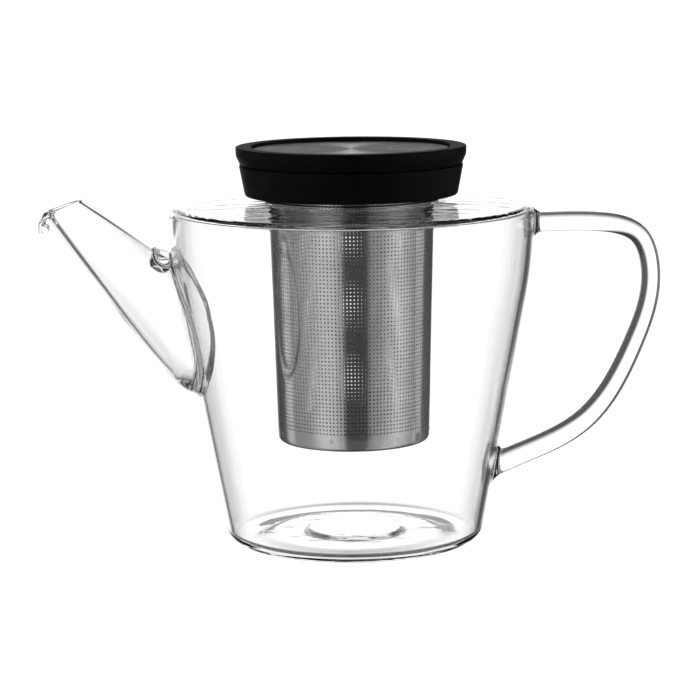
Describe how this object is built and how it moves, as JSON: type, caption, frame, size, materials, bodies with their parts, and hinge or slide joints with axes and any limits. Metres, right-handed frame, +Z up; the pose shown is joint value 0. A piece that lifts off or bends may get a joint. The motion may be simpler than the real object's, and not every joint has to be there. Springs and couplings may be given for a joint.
{
  "type": "glass teapot with infuser",
  "caption": "Clear conical glass teapot with tapered spout and glass rod handle, a lift-out perforated steel infuser on a black collar and a black lid with a steel disc.",
  "frame": {"origin": "on the pot's axis, in the plane it stands on", "axes": "+Z up along the pot's axis; the spout points along -X and the handle along +X; the XZ plane is the mirror plane"},
  "size_m": [0.225, 0.1318, 0.1439],
  "materials": {
    "clear_glass": "clear borosilicate, fire-polished",
    "satin_steel": "satin, fine upright grain",
    "brushed_disc": "turned, circular grain",
    "black_silicone": "matte",
    "black_plastic": "moulded, matte",
    "seal_silicone": "smooth"
  },
  "bodies": {
    "vessel": {"glass_body": "clear_glass", "spout": "clear_glass", "handle": "clear_glass"},
    "infuser": {"infuser_wall": "satin_steel", "infuser_base": "satin_steel", "infuser_rim": "satin_steel", "infuser_collar": "black_silicone"},
    "lid": {"lid_ring": "black_silicone", "lid_disc": "brushed_disc", "lid_core": "black_plastic", "lid_seal": "seal_silicone"}
  },
  "joints": [
    {"name": "infuser_lift", "type": "slide", "parent": "vessel", "child": "infuser", "axis": [0, 0, 1], "range_m": [0, 0.1]},
    {"name": "lid_lift", "type": "slide", "parent": "infuser", "child": "lid", "axis": [0, 0, 1], "range_m": [0, 0.04]}
  ]
}
